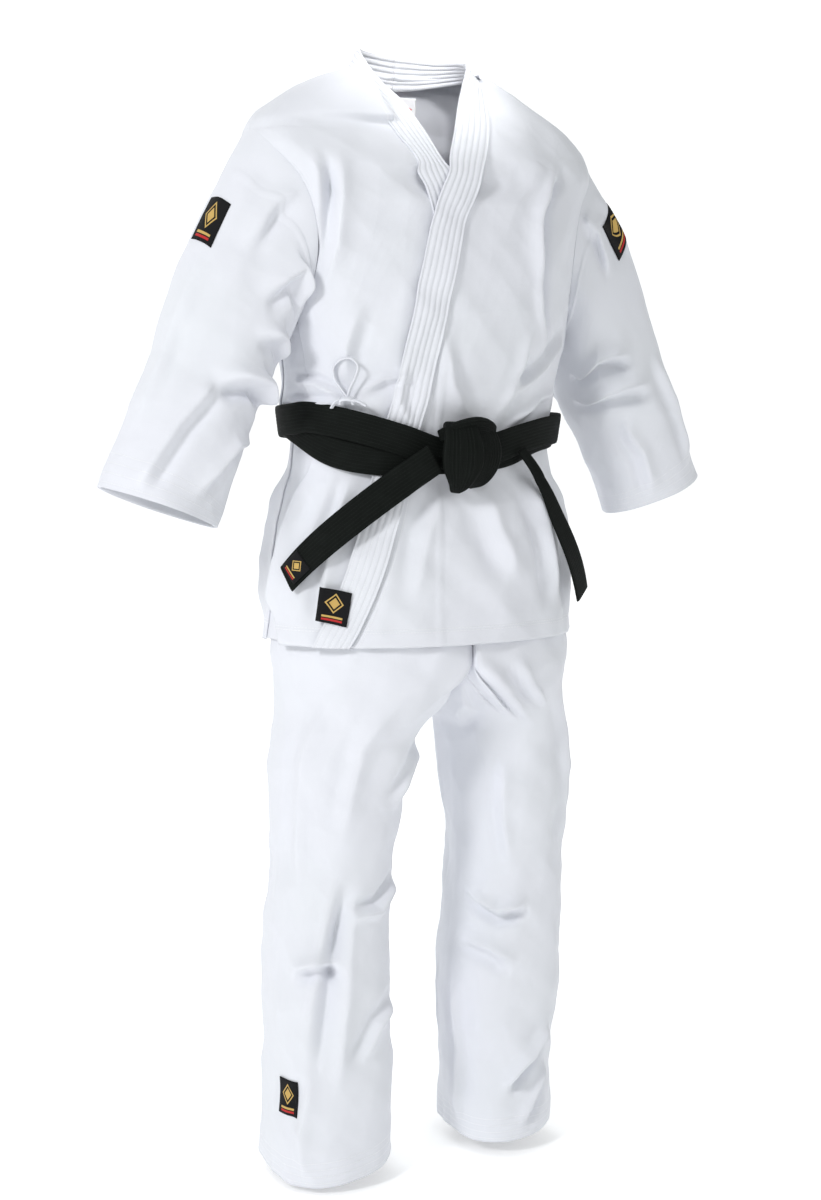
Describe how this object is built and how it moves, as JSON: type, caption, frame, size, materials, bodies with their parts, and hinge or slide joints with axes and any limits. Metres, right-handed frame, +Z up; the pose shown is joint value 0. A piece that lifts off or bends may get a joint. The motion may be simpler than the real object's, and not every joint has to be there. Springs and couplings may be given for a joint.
{
  "type": "martial arts uniform",
  "caption": "White cotton wrap jacket and trousers with a knotted black belt, standing open as if worn; sleeves, legs and belt tails move.",
  "frame": {"origin": "in the middle of the neck opening on the body's middle line, 34 mm below the side of the neck", "axes": "+Z up to the collar, the wearer faces -Y, the wearer's right is -X"},
  "size_m": [0.9182, 0.3195, 1.47],
  "materials": {
    "jacket_canvas": "crisp heavy cotton canvas, matt",
    "trouser_canvas": "cotton canvas, matt",
    "belt_satin": "black cotton satin with rows of stitching",
    "patch_weave": "black woven badge with a plain gold lozenge",
    "label_tape": "satin tape, plain",
    "thread": "embroidery thread"
  },
  "bodies": {
    "garment": {"left_front_panel": "jacket_canvas", "right_front_panel": "jacket_canvas", "left_lapel": "jacket_canvas", "right_lapel": "jacket_canvas", "collar_back": "jacket_canvas", "side_tie_loop": "jacket_canvas", "side_tie_knot": "jacket_canvas", "side_tie_front_end": "jacket_canvas", "side_tie_rear_end": "jacket_canvas", "right_back_panel": "jacket_canvas", "left_back_panel": "jacket_canvas", "right_side_panel": "jacket_canvas", "left_side_panel": "jacket_canvas", "waistband": "trouser_canvas", "crotch_gusset": "trouser_canvas", "right_seat_half": "trouser_canvas", "left_seat_half": "trouser_canvas", "belt_first_wrap": "belt_satin", "belt_second_wrap": "belt_satin", "belt_knot": "belt_satin", "hem_patch": "patch_weave", "neck_label": "label_tape"},
    "right_sleeve_cloth": {"right_sleeve": "jacket_canvas", "right_cuff_facing": "jacket_canvas", "right_sleeve_patch": "patch_weave"},
    "left_sleeve_cloth": {"left_sleeve": "jacket_canvas", "left_cuff_facing": "jacket_canvas", "left_sleeve_patch": "patch_weave"},
    "right_leg_cloth": {"right_leg_front": "trouser_canvas", "right_leg_back": "trouser_canvas", "right_leg_hem_facing": "trouser_canvas", "leg_patch": "patch_weave"},
    "left_leg_cloth": {"left_leg_front": "trouser_canvas", "left_leg_back": "trouser_canvas", "left_leg_hem_facing": "trouser_canvas"},
    "right_tail": {"right_belt_tail": "belt_satin", "belt_tail_emblem": "thread"},
    "left_tail": {"left_belt_tail": "belt_satin"}
  },
  "joints": [
    {"name": "right_sleeve_raise", "type": "hinge", "parent": "garment", "child": "right_sleeve_cloth", "pos_m": [-0.254, 0, -0.058], "axis": [0, 1, 0], "range_deg": [0, 60]},
    {"name": "left_sleeve_raise", "type": "hinge", "parent": "garment", "child": "left_sleeve_cloth", "pos_m": [0.254, 0, -0.058], "axis": [0, -1, 0], "range_deg": [0, 60]},
    {"name": "right_leg_swing", "type": "hinge", "parent": "garment", "child": "right_leg_cloth", "pos_m": [-0.1, 0, -0.748], "axis": [-1, 0, 0], "range_deg": [-10, 20]},
    {"name": "left_leg_swing", "type": "hinge", "parent": "garment", "child": "left_leg_cloth", "pos_m": [0.1, 0, -0.748], "axis": [-1, 0, 0], "range_deg": [-10, 20]},
    {"name": "right_tail_lift", "type": "hinge", "parent": "garment", "child": "right_tail", "pos_m": [0, -0.16, -0.48], "axis": [0, 1, 0], "range_deg": [0, 40]},
    {"name": "left_tail_lift", "type": "hinge", "parent": "garment", "child": "left_tail", "pos_m": [0, -0.16, -0.48], "axis": [0, -1, 0], "range_deg": [0, 40]}
  ]
}
